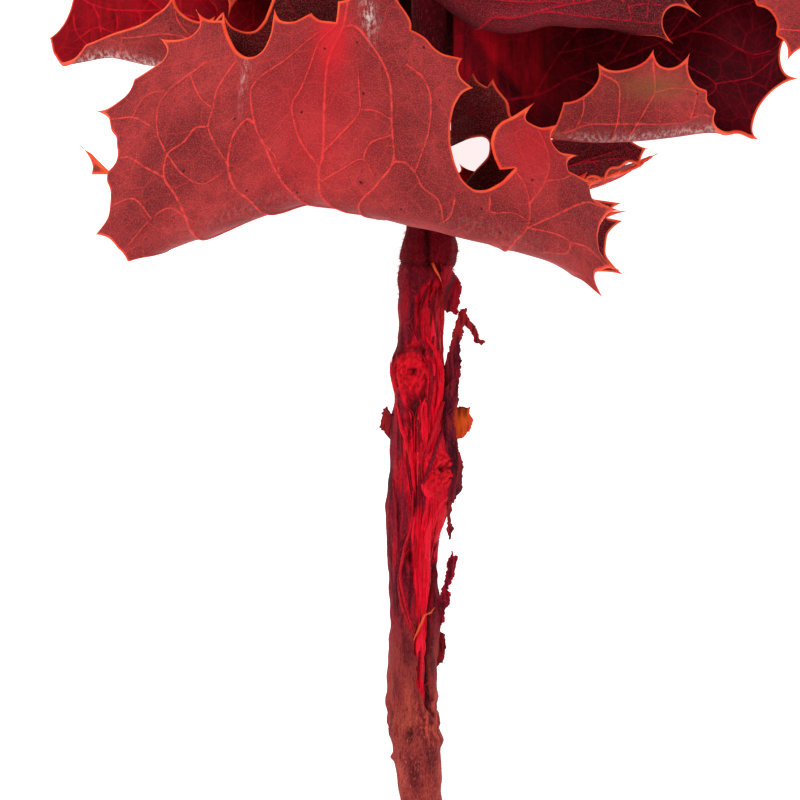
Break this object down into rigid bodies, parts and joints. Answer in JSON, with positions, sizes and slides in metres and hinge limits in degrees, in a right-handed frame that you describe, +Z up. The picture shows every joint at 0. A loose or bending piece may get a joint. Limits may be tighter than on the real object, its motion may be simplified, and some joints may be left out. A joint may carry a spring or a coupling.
{
  "type": "dried leafy stem",
  "caption": "Cut, dried and red-dyed woody stem lying on its side, with a head of broad, cupped, spiny-edged leaves and bark torn where lower leaves were stripped.",
  "frame": {"origin": "centre of the box's bottom face, on the surface that the stem lies on", "axes": "+Z up; +Y along the plant, from the stem's cut end to the tip of the head; +X to the right, seen from the cut end"},
  "size_m": [0.1564, 0.2702, 0.0936],
  "materials": {
    "leaf": "dry, leathery, red-dyed leaf: dull pinkish red underside, deeper crimson upper face, bright orange-red veins and rim",
    "bark": "dry reddish-brown bark with crimson wood in the open wound",
    "torn_bark": "dry, ragged, dark maroon bark",
    "orange_bark": "dry orange inner bark"
  },
  "bodies": {
    "root": {"stem": "bark", "leaf_front": "leaf", "leaf_right": "leaf", "leaf_left": "leaf", "leaf_upper_right": "leaf", "leaf_far_right": "leaf", "leaf_upper_left": "leaf", "leaf_back_right": "leaf", "leaf_back_left": "leaf", "leaf_back_upper": "leaf", "leaf_middle_back": "leaf", "leaf_high_right": "leaf", "leaf_high_left": "leaf", "leaf_high_front": "leaf", "leaf_high_back": "leaf", "leaf_inner_left": "leaf", "leaf_inner_right": "leaf", "bark_flap_top": "torn_bark", "bark_strip_forked": "torn_bark", "bark_strip_right": "torn_bark", "bark_strip_splayed": "torn_bark", "bark_sliver_low": "torn_bark", "bark_sliver_left": "torn_bark", "bark_flake": "orange_bark", "end_bud": "leaf"}
  },
  "joints": []
}
